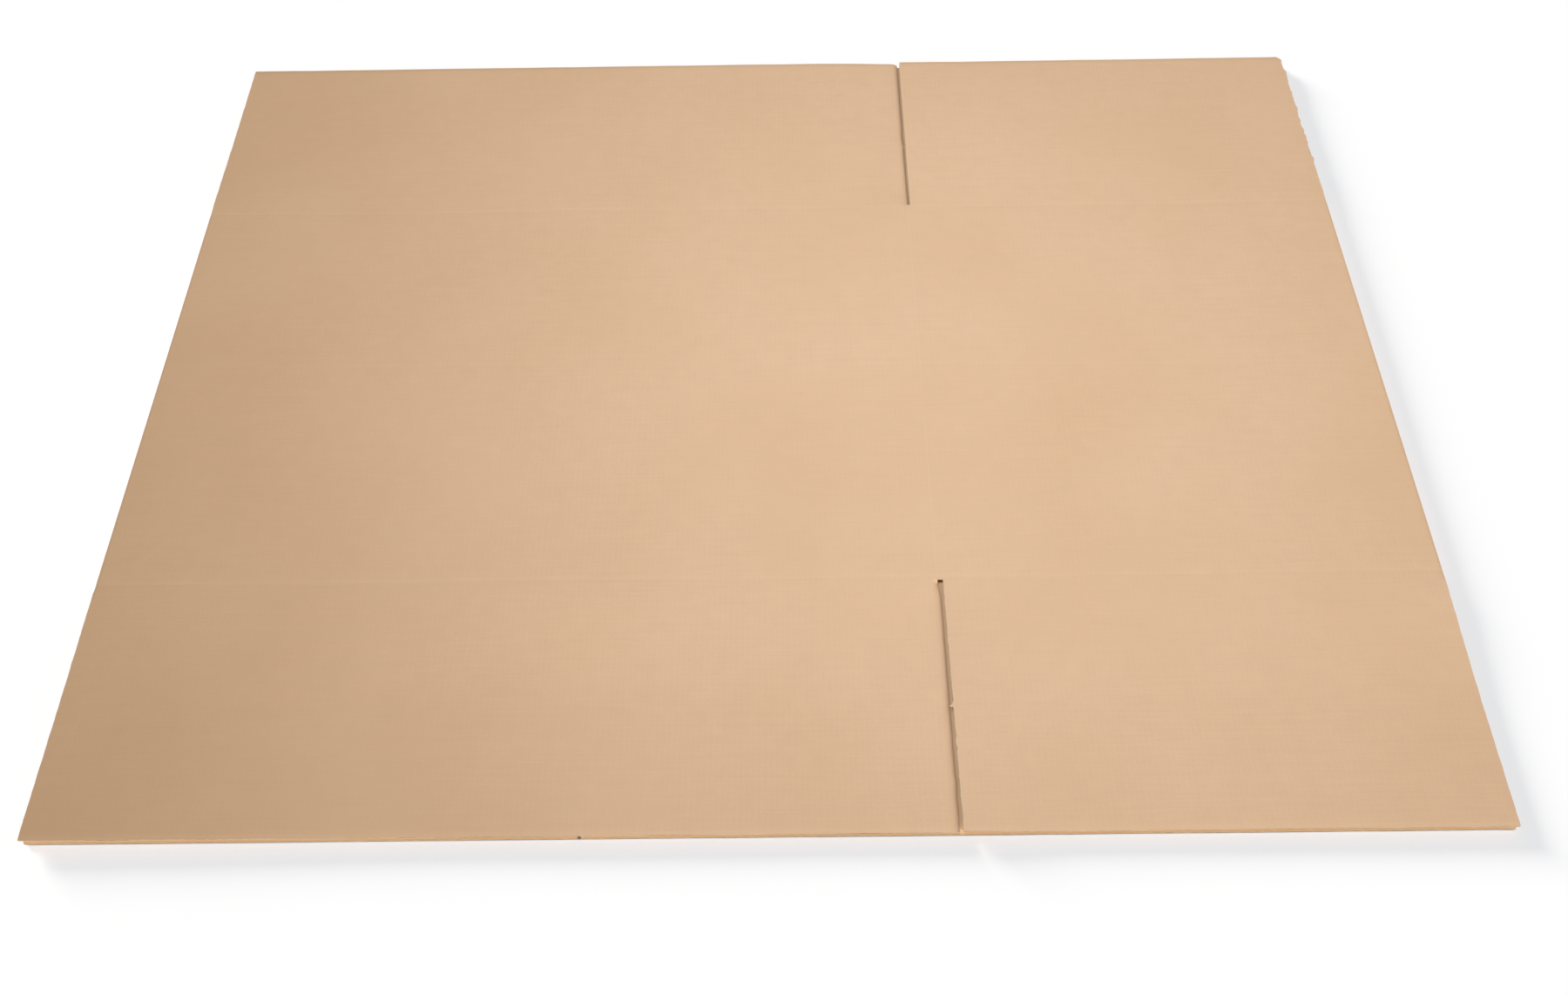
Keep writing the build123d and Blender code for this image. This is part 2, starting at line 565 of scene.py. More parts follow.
    def flap_ends(self, s: Array, y: Array) -> Array:
        """Makes the flaps' ends uneven, by a ripple that fades out over a few mm from the cut.

        Args:
            s, y: Places on the sheet.

        Returns:
            Shifts in Y, in mm.
        """
        near = 1 - smooth_step((self.blank.half_sheet - np.abs(y)) / self.cut_fade)
        return near * self.end_ripple(s) * np.sign(y)

    def round_corner(self, s: Array, y: Array) -> Array:
        """Rounds the upper layer's rear right corner by pulling its points in along Y.

        With v falling from 1 at the flap's side to 0 at the worn width, a point past the end
        less the worn depth times v^curve is pulled back to there.

        Args:
            s, y: Places on the sheet, already uneven.

        Returns:
            The places' new Y, in mm.
        """
        blank = self.blank
        width, depth = self.worn_corner
        from_side = s - (blank.right_fold + blank.flap_inset)
        share = np.clip(1 - from_side / width, 0, 1)
        share = share * (blank.is_upper(s) & (from_side > -self.edge_past))
        limit = blank.half_sheet - depth * share**self.worn_corner_curve
        return np.where((share > 0) & (y > limit), limit + self.worn_corner_squeeze * (y - limit), y)


@dataclass(frozen=True)
class Form:
    """The worn blank as it lies: from a place and a depth in the board to a point in metres."""

    blank: Blank
    wear: Wear

    def faces(self, s: Array, y: Array) -> tuple[Array, Array]:
        """Depths of the worn board's two faces at each place, in mm."""
        return self.wear.faces(s, y, self.blank.fold(s, y)[2])

    def point(self, s: Array, y: Array, depth: Array) -> Array:
        """Places a point of the board.

        It is the folded outer face, moved into the board by the depth, raised by the lift of its
        layer and moved along the sheet by the unevenness of the cuts. A nose stays where it is: the
        lift is 0 at half the stack's height and full from nose_hold of the stack away.

        Args:
            s, y: Places on the sheet.
            depth: Depth below the perfect outer face, in mm.

        Returns:
            Points in metres, with a last axis of X, Y and Z.
        """
        blank, wear = self.blank, self.wear
        worn_s = s + wear.slot_sides(s, y)
        worn_y = wear.round_corner(worn_s, y + wear.flap_ends(s, y))
        points, normals, _ = blank.fold(worn_s, worn_y)
        points = points + normals * depth[..., None]
        upper = blank.is_upper(s)
        off_nose = smooth_step(np.abs(points[..., 2] / blank.stack - 0.5) / wear.nose_hold)
        raised = wear.lift(points[..., 0], worn_y, upper)
        points[..., 2] += np.where(upper, raised, np.maximum(raised, 0)) * off_nose
        return points * MM


# Meshes


def closed_sheet(name: str, top: Array, under: Array, keep: Array) -> tuple[Piece, Array]:
    """Makes one closed mesh from two faces over the same grid.

    Each kept cell gives a quad of each face, and a quad of wall on every side where its neighbour
    isn't kept. Face material 0 is the top face, 1 the one under it and 2 the walls.

    Args:
        name: Name of the object and its mesh.
        top: Points of the face that looks out, by row of s and column of y, in metres.
        under: Points of the other face, on the same grid.
        keep: True for each cell between four grid points that is board.

    Returns:
        The object, and the grid's own number for each vertex that was used, top face first.
    """
    rows, columns = top.shape[:2]
    number = np.arange(rows * columns).reshape(rows, columns)
    below = number + rows * columns
    a, b = number[:-1, :-1], number[:-1, 1:]
    c, d = number[1:, 1:], number[1:, :-1]
    e, f = below[:-1, :-1], below[:-1, 1:]
    g, h = below[1:, 1:], below[1:, :-1]
    kept = np.pad(keep, 1)
    groups = (
        (keep, (a, b, c, d), 0),
        (keep, (h, g, f, e), 1),
        (keep & ~kept[:-2, 1:-1], (b, a, e, f), 2),
        (keep & ~kept[2:, 1:-1], (d, c, g, h), 2),
        (keep & ~kept[1:-1, :-2], (a, d, h, e), 2),
        (keep & ~kept[1:-1, 2:], (c, b, f, g), 2),
    )
    quads = np.concatenate([np.stack([v[m] for v in vs], axis=1) for m, vs, _ in groups])
    slots = np.concatenate([np.full(int(m.sum()), i, np.int32) for m, _, i in groups])
    used, corners = np.unique(quads, return_inverse=True)
    points = np.concatenate([top.reshape(-1, 3), under.reshape(-1, 3)])[used]
    mesh = bpy.data.meshes.new(name)
    mesh.vertices.add(len(points))
    mesh.vertices.foreach_set("co", points.astype(np.float32).ravel())
    mesh.loops.add(corners.size)
    mesh.loops.foreach_set("vertex_index", corners.astype(np.int32).ravel())
    mesh.polygons.add(len(quads))
    mesh.polygons.foreach_set("loop_start", np.arange(0, corners.size, 4, dtype=np.int32))
    mesh.polygons.foreach_set("material_index", slots)
    mesh.polygons.foreach_set("use_smooth", np.ones(len(quads), bool))
    mesh.update(calc_edges=True)
    mesh.validate()
    mesh.set_sharp_from_angle(angle=SHARP_ANGLE)
    piece = bpy.data.objects.new(name, mesh)
    bpy.context.scene.collection.objects.link(piece)
    return piece, used


def dress(piece: Piece, *materials: Material) -> Piece:
    """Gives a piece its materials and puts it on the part's one body.

    Args:
        piece: The piece.
        *materials: Materials of its top, under side and walls.

    Returns:
        The same piece.
    """
    for material in materials:
        piece.data.materials.append(material)
    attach(piece, BODY)
    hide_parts(NODE)
    return piece


def report(piece: Piece) -> None:
    """Logs a piece's name, faces and size."""
    size = ", ".join(f"{v / MM:.1f}" for v in np.ptp(np.array(piece.bound_box), axis=0))
    log.info("%s: %d faces, %s mm", piece.name, len(piece.data.polygons), size)


# Finishes


def add_node(
    tree: Tree, kind: str, inputs: dict[int | str, object] | None = None, **settings: object
) -> bpy.types.Node:
    """Adds a node with its settings, values and links.

    Args:
        tree: Node tree that gets the node.
        kind: Blender's name for the kind of node.
        inputs: A value, or an output socket to link, by the input's name or number.
        **settings: Properties of the node itself.

    Returns:
        The new node.
    """
    node = tree.nodes.new(kind)
    for key, value in settings.items():
        setattr(node, key, value)
    for key, value in (inputs or {}).items():
        if isinstance(value, Socket):
            tree.links.new(value, node.inputs[key])
        else:
            node.inputs[key].default_value = value
    return node


def new_material(name: str) -> Material:
    """Makes an empty node material."""
    material = bpy.data.materials.new(name)
    material.use_nodes = True
    material.node_tree.nodes.clear()
    return material


def finish_material(
    material: Material,
    colour: Socket | Sequence[float],
    roughness: float,
    specular: float,
    height: Socket | None = None,
    relief: float = 0.0,
) -> Material:
    """Adds the shader and the output to a paper's pattern.

    Args:
        material: Material whose tree holds the pattern.
        colour: Socket with the paper's colour, or the colour where it is the same all over.
        roughness: Roughness of the shader.
        specular: Specular level of the shader.
        height: Socket with its relief from 0 to 1, or None for a plain surface.
        relief: Height in mm that the relief's 0 to 1 stands for.

    Returns:
        The same material.
    """
    tree = material.node_tree
    inputs: dict[int | str, object] = {
        "Base Color": colour, "Roughness": roughness, "Specular IOR Level": specular, "IOR": 1.5,
    }
    if height is not None:
        bump = add_node(tree, "ShaderNodeBump", {"Strength": 1.0, "Distance": relief * MM, "Height": height})
        inputs["Normal"] = bump.outputs["Normal"]
    shader = add_node(tree, "ShaderNodeBsdfPrincipled", inputs)
    add_node(tree, "ShaderNodeOutputMaterial", {"Surface": shader.outputs["BSDF"]})
    return material


@dataclass(frozen=True)
class Kraft:
    """Brown kraft liner, made on a paper machine and left uncoated.

    Its fibres lie mostly along the machine's run, here X, which gives fine broken streaks. The
    pulp is uneven, so it looks faintly cloudy, with a few dark specks of bark. The flutes under it
    show as barely visible lines: a faint relief, and a painted shade that ripples twice for each
    flute, as their slopes would be shaded by light from above. It is matt, with a soft sheen only
    at a flat angle.

    Attributes:
        colour: The paper in plain light.
        dark: The same paper where the pulp is dense.
        fleck: Specks of bark.
        worn: Fibres raised by a crease.
        streak_length: Length of a streak of fibres, in mm.
        streak_width: Width of one, in mm; real ones are 0.1 to 0.3, drawn coarser to show.
        cloud_size: Size of a cloud in the pulp, in mm.
        fibre_size: Size of the felt of fibres, in mm.
        dense_size: Size of a stretch of dense pulp, in mm.
        fleck_spacing: Mean distance between specks, in mm.
        fleck_radius: Radius of a speck, in mm.
        streak_share: How far streaks change the brightness; the next three are alike, and the flutes' share
            is that of a painted shade.
        dense_from, dense_to: Values of the pulp's noise between which it becomes dense.
        dense_share: How far dense pulp takes the colour to the dark one; the next two are alike.
        flute_relief: How far the flutes stand out, as a share of the fibres' relief.
        relief: Height of the fibres, in mm.
    """

    name: str = "kraft_liner_uncoated"
    colour: str = "#E0BD9B"
    dark: str = "#D2AC85"
    fleck: str = "#6B4526"
    worn: str = "#EBD3B3"
    streak_length: float = 55.0
    streak_width: float = 1.2
    cloud_size: float = 12.0
    fibre_size: float = 0.8
    dense_size: float = 160.0
    fleck_spacing: float = 34.0
    fleck_radius: float = 0.34
    streak_share: float = 0.035
    cloud_share: float = 0.03
    fibre_share: float = 0.04
    # painted shade of the flutes' ripple, as a share of the brightness
    flute_shade_share: float = 0.004
    dense_from: float = 0.35
    dense_to: float = 0.75
    dense_share: float = 0.30
    fleck_share: float = 0.7
    worn_share: float = 0.06
    flute_relief: float = 0.25
    relief: float = 0.02
    roughness: float = 0.88
    specular: float = 0.25

    def pattern(self, tree: Tree) -> tuple[Socket, Socket]:
        """Adds the paper's pattern to a tree.

        Args:
            tree: Node tree that gets the nodes.

        Returns:
            Sockets with the colour and with the relief from 0 to 1.
        """
        place = add_node(tree, "ShaderNodeTexCoord").outputs["Object"]
        along, across = 1 / (self.streak_length * MM), 1 / (self.streak_width * MM)
        stretched = add_node(
            tree, "ShaderNodeMapping", {"Vector": place, "Scale": (along, across, across)}
        ).outputs["Vector"]
        streaks, clouds, fibres, pulp = (
            add_node(
                tree, "ShaderNodeTexNoise",
                {"Vector": vector, "Scale": scale, "Detail": detail, "Roughness": roughness},
            ).outputs["Fac"]
            for vector, scale, detail, roughness in (
                (stretched, 1.0, 3.0, 0.6),
                (place, 1 / (self.cloud_size * MM), 3.0, 0.5),
                (place, 1 / (self.fibre_size * MM), 2.0, 0.6),
                (place, 1 / (self.dense_size * MM), 2.0, 0.5),
            )
        )
        split = add_node(tree, "ShaderNodeSeparateXYZ", {"Vector": place})
        # Two ripples for each flute: the painted shade that the flutes' slopes would take under light from
        # above, and the same ripple as relief
        turns = 4 * math.pi / (Board().flute_pitch * MM)  # two ripples for each flute
        phase = add_node(tree, "ShaderNodeMath", {0: split.outputs["X"], 1: turns}, operation="MULTIPLY")
        flutes = add_node(tree, "ShaderNodeMath", {0: phase.outputs[0]}, operation="SINE").outputs[0]
        # Brightness: 1 and a share of each noise, read from its middle, 0.5, and of the flutes' sine, which
        # is painted shade
        factor: object = 1.0
        for socket, share, middle in (
            (streaks, 2 * self.streak_share, 0.5), (clouds, 2 * self.cloud_share, 0.5),
            (fibres, 2 * self.fibre_share, 0.5), (flutes, self.flute_shade_share, 0.0),
        ):
            centred = add_node(tree, "ShaderNodeMath", {0: socket, 1: middle}, operation="SUBTRACT")
            factor = add_node(
                tree, "ShaderNodeMath", {0: centred.outputs[0], 1: share, 2: factor}, operation="MULTIPLY_ADD"
            ).outputs[0]
        dense = add_node(
            tree, "ShaderNodeMapRange",
            {
                "Value": pulp, "From Min": self.dense_from, "From Max": self.dense_to,
                "To Max": self.dense_share,
            },
        ).outputs["Result"]
        paper = add_node(
            tree, "ShaderNodeMix", {0: dense, 6: linear(self.colour), 7: linear(self.dark)}, data_type="RGBA"
        ).outputs[2]
        paper = add_node(
            tree, "ShaderNodeVectorMath", {0: paper, "Scale": factor}, operation="SCALE"
        ).outputs["Vector"]
        cells = add_node(
            tree, "ShaderNodeTexVoronoi", {"Vector": place, "Scale": 1 / (self.fleck_spacing * MM)}
        )
        rim = self.fleck_radius / self.fleck_spacing
        speck = add_node(
            tree, "ShaderNodeMapRange",
            {
                "Value": cells.outputs["Distance"], "From Min": rim, "From Max": rim / 2,
                "To Max": self.fleck_share,
            },
        ).outputs["Result"]
        crease = add_node(tree, "ShaderNodeAttribute", attribute_name="crease").outputs["Fac"]
        raised = add_node(
            tree, "ShaderNodeMath", {0: crease, 1: self.worn_share}, operation="MULTIPLY"
        ).outputs[0]
        for share, colour in ((speck, self.fleck), (raised, self.worn)):
            paper = add_node(
                tree, "ShaderNodeMix", {0: share, 6: paper, 7: linear(colour)}, data_type="RGBA"
            ).outputs[2]
        height = add_node(
            tree, "ShaderNodeMath", {0: flutes, 1: self.flute_relief, 2: fibres}, operation="MULTIPLY_ADD"
        ).outputs[0]
        return paper, height

    def material(self) -> Material:
        """Makes the material."""
        material = new_material(self.name)
        colour, height = self.pattern(material.node_tree)
        return finish_material(material, colour, self.roughness, self.specular, height, self.relief)


@dataclass(frozen=True)
class Fluting:
    """Recycled paper of the flutes and the backs of the liners, rough and duller than the liner.

    It is made from waste paper, starched and pressed hot between the corrugator's rolls, so it is
    greyer, with coarse mottling. Its browns are set paler than the liner: painted light that
    brightens the shaded flute ends, slot walls and backs of the liners.

    Attributes:
        grain: Size of the mottling, in mm.
        detail: How many finer layers the mottling has.
        broken: How strong those are.
        relief: Height of the mottling, in mm.
    """

    name: str = "recycled_fluting_paper"
    # Paler than the liner, as painted light on the shaded flute ends and slot walls
    colour: str = "#E2CBAE"
    dark: str = "#CDB08C"
    grain: float = 2.5
    detail: float = 4.0
    broken: float = 0.65
    relief: float = 0.03
    roughness: float = 0.95
    specular: float = 0.15

    def material(self) -> Material:
        """Makes the material: two browns mixed by a noise as coarse as the grain.

        Returns:
            The material, without relief where that is 0.
        """
        material = new_material(self.name)
        tree = material.node_tree
        place = add_node(tree, "ShaderNodeTexCoord").outputs["Object"]
        mottle = add_node(
            tree, "ShaderNodeTexNoise",
            {
                "Vector": place, "Scale": 1 / (self.grain * MM),
                "Detail": self.detail, "Roughness": self.broken,
            },
        ).outputs["Fac"]
        colour = add_node(
            tree, "ShaderNodeMix", {0: mottle, 6: linear(self.dark), 7: linear(self.colour)},
            data_type="RGBA",
        ).outputs[2]
        height = mottle if self.relief else None
        return finish_material(material, colour, self.roughness, self.specular, height, self.relief)


@dataclass(frozen=True)
class CutEdge(Fluting):
    """Cut edge of the papers, where the knife left short torn fibres.

    It is paler than the fluting and the liner's face, in part the pale torn fibres and in part painted light
    on the shaded cut ends, and it is broken up at fibre scale.
    """

    name: str = "cut_paper_edge"
    # Partly the torn fibres' own paleness, partly painted light on the shaded cut ends
    colour: str = "#EAD9C0"
    dark: str = "#D3B998"
    grain: float = 0.7
    detail: float = 3.0
    broken: float = 0.7
    relief: float = 0.0


@dataclass(frozen=True)
class Finishes:
    """The materials that the pieces share."""

    kraft: Material
    inside: Material
    fluting: Material
    cut: Material


# The pieces


@dataclass
class PaperGrid:
    """Grid lines over the unfolded sheet, close together at cuts, creases and folds.

    Attributes:
        form: The worn blank.
        panel_step: Widest spacing in s.
        flap_step: Widest spacing in Y in the flaps.
        body_step: Widest spacing in Y in the body.
        beside: Distances of the lines beside a cut from it.
        nose_step: Spacing in s round a fold's nose and across a slot.
        tip_step: Spacing at the tip of a nose.
        mark_step: Spacing across the bend mark.
        crease_step: Spacing across a flap crease.
        root_run, root_step: Length of a flap's first stretch, and the spacing in it.
        end_run, end_step: The same at a flap's end.
        open_flute: How deep the open flute at the inner end of an upper slot is.
    """

    form: Form
    panel_step: float = 22.0
    flap_step: float = 2.0
    body_step: float = 9.0
    beside: tuple[float, ...] = (0.0, 0.5, 1.1, 1.8, 2.6, 3.5, 5.0, 8.0, 12.0)
    nose_step: float = 0.7
    tip_step: float = 0.5
    mark_step: float = 0.75
    crease_step: float = 0.84
    root_run: float = 6.0
    root_step: float = 1.0
    end_run: float = 3.0
    end_step: float = 0.6
    open_flute: float = 3.5

    def s_lines(self) -> Array:
        """Places grid lines across the panels, with both sides of every slot, fold and seam.

        Returns:
            Places in s, rising.
        """
        blank = self.form.blank
        beside, step = np.array(self.beside), self.nose_step
        parts: list[Array] = []
        for start, end in blank.panel_cuts:
            inner = spaced(start + beside[-1], end - beside[-1], self.panel_step)
            parts += [start + beside, end - beside, inner]
        nose, inset, half = blank.fold_nose, blank.flap_inset, blank.half_slot
        for fold in (blank.right_fold, blank.left_fold):
            parts += [spaced(fold - nose, fold - inset, step), spaced(fold + inset, fold + nose, step)]
            parts.append(spaced(fold - inset, fold + inset, self.tip_step))
        parts.append(spaced(blank.upper_corner - half, blank.upper_corner + half, step))
        seam = blank.seam_gap / 2
        return lines(*parts, [seam, blank.ring - seam])

    def y_lines(self) -> Array:
        """Places grid lines along the flutes, with the creases, the bend mark and the flaps' ends.

        Returns:
            Places in Y, rising.
        """
        blank, wear = self.form.blank, self.form.wear
        crease, edge, end = blank.half_body - blank.crease_width, blank.half_body, blank.half_sheet
        skew = abs(wear.bend_mark_slope) * blank.half_width + wear.bend_mark_width
        mark = spaced(wear.bend_mark_y - skew, wear.bend_mark_y + skew, self.mark_step)
        side = lines(
            [edge - self.open_flute],
            spaced(crease, edge, self.crease_step),
            spaced(edge, edge + self.root_run, self.root_step),
            spaced(edge + self.root_run, end - self.end_run, self.flap_step),
            spaced(end - self.end_run, end, self.end_step),
        )
        body = spaced(-crease, mark[0], self.body_step), spaced(mark[-1], crease, self.body_step)
        return lines(mark, *body, side, -side)

    def mouths(self, s: Array, y: Array) -> Array:
        """Finds the cells at the inner ends of the upper slots where a flute is open.

        Args:
            s, y: Grid lines round the ring and along the flutes.

        Returns:
            True for each cell in which only the outer liner is left.
        """
        blank = self.form.blank
        beside = np.abs(middles(s) - blank.upper_corner) < blank.half_slot
        return beside[:, None] & (np.abs(middles(y)) > blank.half_body - self.open_flute)

    def keep(self, s: Array, y: Array, inset: float = 0.0) -> Array:
        """Finds the cells that are board: within a panel in the flaps, off the seam in the body.

        Args:
            s, y: Grid lines round the ring and along the flutes.
            inset: How far the board stays back from every cut, in mm.

        Returns:
            True for each cell that is kept.
        """
        blank = self.form.blank
        mid_s, mid_y = middles(s), np.abs(middles(y))
        in_flap = np.zeros_like(mid_s, bool)
        for start, end in blank.panel_cuts:
            in_flap |= (mid_s > start + inset) & (mid_s < end - inset)
        seam = blank.seam_gap / 2 + inset
        in_body = (mid_s > seam) & (mid_s < blank.ring - seam)
        flap_rows, in_sheet = mid_y > blank.half_body - inset, mid_y < blank.half_sheet - inset
        return np.where(flap_rows, in_flap[:, None], in_body[:, None]) & in_sheet


@dataclass
class Maker:
    """What every sub-assembly of the box is made from."""

    form: Form
    finishes: Finishes

    def build(self) -> list[Piece]:
        """Builds and dresses the pieces."""
        raise NotImplementedError


@dataclass
class Liners(Maker):
    """The outer and inner liner: the smooth papers on the two sides of the board."""

    corner_worn: float = 0.6  # how far the corner crease and the bend mark lighten the paper
    mark_worn: float = 0.8

    def build(self) -> list[Piece]:
        """Builds both papers as closed sheets over the whole ring.

        Returns:
            The outer and the inner liner.
        """
        finishes, paper = self.finishes, self.form.blank.board.liner
        pieces = []
        for name, is_outer, grid in (
            ("outer_liner", True, PaperGrid(self.form)),
            ("inner_liner", False, PaperGrid(self.form, panel_step=30.0, flap_step=3.5)),
        ):
            s_lines, y_lines = grid.s_lines(), grid.y_lines()
            s, y = np.meshgrid(s_lines, y_lines, indexing="ij")
            outer, inner = self.form.faces(s, y)
            near, far = (outer, outer + paper) if is_outer else (inner - paper, inner)
            top, under = self.form.point(s, y, near), self.form.point(s, y, far)
            keep = grid.keep(s_lines, y_lines)
            if not is_outer:
                keep &= ~grid.mouths(s_lines, y_lines)
            piece, used = closed_sheet(name, top, under, keep)
            self.mark_creases(piece, s, y, used)
            faces = (finishes.kraft, finishes.fluting) if is_outer else (finishes.fluting, finishes.inside)
            pieces.append(dress(piece, *faces, finishes.cut))
        return pieces

    def mark_creases(self, piece: Piece, s: Array, y: Array, used: Array) -> None:
        """Stores how strongly each vertex is creased, for the kraft to lighten there.

        Args:
            piece: One of the liners.
            s, y: Places of its whole grid.
            used: The grid's number for each of its vertices.
        """
        blank, wear = self.form.blank, self.form.wear
        flap, corner = wear.creases(s, y)
        mark = wear.bend_mark(blank.flat_x(s), y, blank.is_upper(s))
        crease = np.clip(flap + self.corner_worn * corner + self.mark_worn * mark, 0, 1).ravel()
        attribute = piece.data.attributes.new("crease", "FLOAT", "POINT")
        attribute.data.foreach_set("value", np.concatenate([crease, crease])[used].astype(np.float32))


@dataclass
class FlutedPaper(Maker):
    """The wavy paper between the liners, which shows at the ends and sides of the flaps.

    Attributes:
        samples: Points to each flute.
        row_step: Widest spacing in Y.
        end_run, end_step: Length of the crushed end, and the spacing in it.
        end_inset: How far its end stays back from the liners'.
        side_inset: The same at its sides.
        root_start: Distance from the slot's inner end to where it starts.
        least_swing: Height that is left to the wave where the board is crushed shut.
    """

    samples: int = 10
    row_step: float = 22.0
    end_run: float = 3.4
    end_step: float = 0.85
    end_inset: float = 0.15
    side_inset: float = 0.3
    root_start: float = 2.0
    least_swing: float = 0.02

    def build(self) -> list[Piece]:
        """Builds the flutes of the rear and the front row of flaps, each in one mesh."""
        return [self.row(row) for row in End]

    def row(self, row: End) -> Piece:
        """Builds one row of flaps.

        The paper's middle is a sine of X between the liners, one wave for each flute, and its two
        faces lie half its thickness to either side, square to the wave.

        Args:
            row: Which row.

        Returns:
            The row's paper.
        """
        form, blank, board = self.form, self.form.blank, self.form.blank.board
        step, side = board.flute_pitch / self.samples, self.side_inset
        runs = [spaced(a + side, b - side, step) for a, b in blank.panel_cuts]
        s_lines = np.concatenate(runs)
        breaks = np.cumsum([len(run) for run in runs])[:-1] - 1
        start, end = blank.half_body + self.root_start, blank.half_sheet - self.end_inset
        crushed = end - self.end_run
        y_lines = lines(spaced(start, crushed, self.row_step), spaced(crushed, end, self.end_step))
        y_lines = np.sort(row.value * y_lines)
        s, y = np.meshgrid(s_lines, y_lines, indexing="ij")
        outer, inner = form.faces(s, y)
        swing = (inner - outer) / 2 - board.liner - board.fluted_paper / 2
        swing = np.maximum(swing, self.least_swing)
        turn = 2 * np.pi / board.flute_pitch
        phase = turn * blank.flat_x(s)
        direction = np.where(blank.is_upper(s), -1.0, 1.0)  # of X as s grows
        slope = swing * turn * np.cos(phase) * direction
        half = board.fluted_paper / 2 / np.sqrt(1 + slope**2)
        depth = (outer + inner) / 2 + swing * np.sin(phase)
        top = form.point(s + half * slope, y, depth - half)
        under = form.point(s - half * slope, y, depth + half)
        keep = np.ones((len(s_lines) - 1, len(y_lines) - 1), bool)
        keep[breaks] = False
        piece, _ = closed_sheet(f"fluted_paper_{row.name.lower()}", top, under, keep)
        return dress(piece, self.finishes.fluting, self.finishes.fluting, self.finishes.cut)


@dataclass
class CrushedCore(Maker):
    """The flutes of the panels and of the flaps' roots, seen only where a slot or seam cuts them.

    The creasing rolls and folds press them shut there, so they are one slab between the liners.
    Only at the inner ends of the upper slots does an open flute show.
    """

    inset: float = 0.4  # of its sides from the liners'

    def build(self) -> list[Piece]:
        """Builds the slab, a little back from the liners' edges.

        Returns:
            The slab alone.
        """
        form, blank, inset = self.form, self.form.blank, self.inset
        grid = PaperGrid(form, panel_step=30.0, body_step=18.0)
        cuts = [v for a, b in blank.panel_cuts for v in (a + inset, b - inset)]
        seam = blank.seam_gap / 2 + inset
        s_lines = lines(grid.s_lines(), cuts, [seam, blank.ring - seam])
        edge, root = blank.half_body - inset, blank.half_body + blank.flap_root
        y_lines = grid.y_lines()
        y_lines = lines(y_lines[np.abs(y_lines) < root], [-root, -edge, edge, root])
        s, y = np.meshgrid(s_lines, y_lines, indexing="ij")
        outer, inner = form.faces(s, y)
        paper = blank.board.liner
        top, under = form.point(s, y, outer + paper), form.point(s, y, inner - paper)
        keep = grid.keep(s_lines, y_lines, inset) & ~grid.mouths(s_lines, y_lines)
        piece, _ = closed_sheet("crushed_core", top, under, keep)
        return [dress(piece, *[self.finishes.fluting] * 3)]


@dataclass(frozen=True)
class Tongue:
    """A bit of torn liner that hangs from a slot's side into the slot, in mm.

    Attributes:
        y: Place along the slot.
        from_right: Whether it hangs from the right side of the slot.
        width: Width at its root, along the slot.
        reach: How far it stands out into the slot.
        droop: How far its tip hangs below its root.
        lean: How far its tip leans along the slot.
    """

    y: float
    from_right: bool
    width: float
    reach: float
    droop: float
    lean: float


@dataclass
class TornFibres(Maker):
    """Torn bits of the outer liner along the upper slots: two tongues and a fringe of fibres."""

    tongues: tuple[Tongue, ...] = (
        Tongue(-270.5, True, 1.3, 1.8, 0.6, 0.4),
        Tongue(248.5, False, 2.4, 1.4, -0.3, -0.6),
    )
    fringe_count: int = 70
    fringe_seed: int = 5
    fringe_start: float = 8.0  # from the slot's inner end
    fringe_stop: float = 2.0  # before the flap's end
    thickness: float = 0.12
    sunk: float = 0.02  # below the liner's face
    taper: float = 0.85  # share of the width lost at the tip
    taper_curve: float = 1.5

    def fringe(self) -> list[Tongue]:
        """Draws the fibres at random places on the right side of the front slot.

        Returns:
            A small tongue for each fibre.
        """
        blank, count = self.form.blank, self.fringe_count
        rng = np.random.default_rng(self.fringe_seed)
        first, last = blank.half_body + self.fringe_start, blank.half_sheet - self.fringe_stop
        places = -rng.uniform(first, last, count)
        spans = ((0.4, 1.2), (0.2, 0.7), (-0.25, 0.5), (-1.2, 1.2))  # width, reach, droop, lean
        draws = [rng.uniform(low, high, count) for low, high in spans]
        return [Tongue(y, True, *rest) for y, *rest in zip(places, *draws)]

    def build(self) -> list[Piece]:
        """Builds every tongue as a thin closed sheet on a small grid.

        With u from 0 at the root to 1 at the tip and v from -1 to 1 across, its half width is
        width/2 (1 - taper u^curve) and its depth droop u^2. It stands out by reach u and leans by
        lean u along the slot. Its first row, at u below 0, ties it into the liner.

        Returns:
            One piece with all of them.
        """
        form, blank = self.form, self.form.blank
        rows = np.array([astuple(tongue) for tongue in (*self.tongues, *self.fringe())], float)
        place, from_right, width, reach, droop, lean = rows.T[:, :, None, None]
        u = np.array([-0.15, 0.0, 0.35, 0.7, 1.0])[None, :, None]
        v = np.array([-1.0, -0.4, 0.4, 1.0])[None, None, :]
        past = np.clip(u, 0, 1)
        half = width / 2 * (1 - self.taper * past**self.taper_curve)
        y = place + v * half + lean * past
        side = np.where(from_right > 0.5, -1.0, 1.0)  # of the slot's middle, along s
        root = blank.upper_corner + side * blank.half_slot + 0 * y
        sink = form.faces(root, y)[0] + self.sunk
        out = np.zeros((*y.shape, 3))
        out[..., 0] = side * reach * u * MM
        out[..., 2] = -droop * past**2 * MM
        shape = (len(rows) * u.size, v.size, 3)
        top = (form.point(root, y, sink) + out).reshape(shape)
        under = (form.point(root, y, sink + self.thickness) + out).reshape(shape)
        keep = np.ones((shape[0] - 1, v.size - 1), bool)
        keep[u.size - 1 :: u.size] = False
        piece, _ = closed_sheet("torn_fibres", top, under, keep)
        return [dress(piece, *[self.finishes.cut] * 3)]


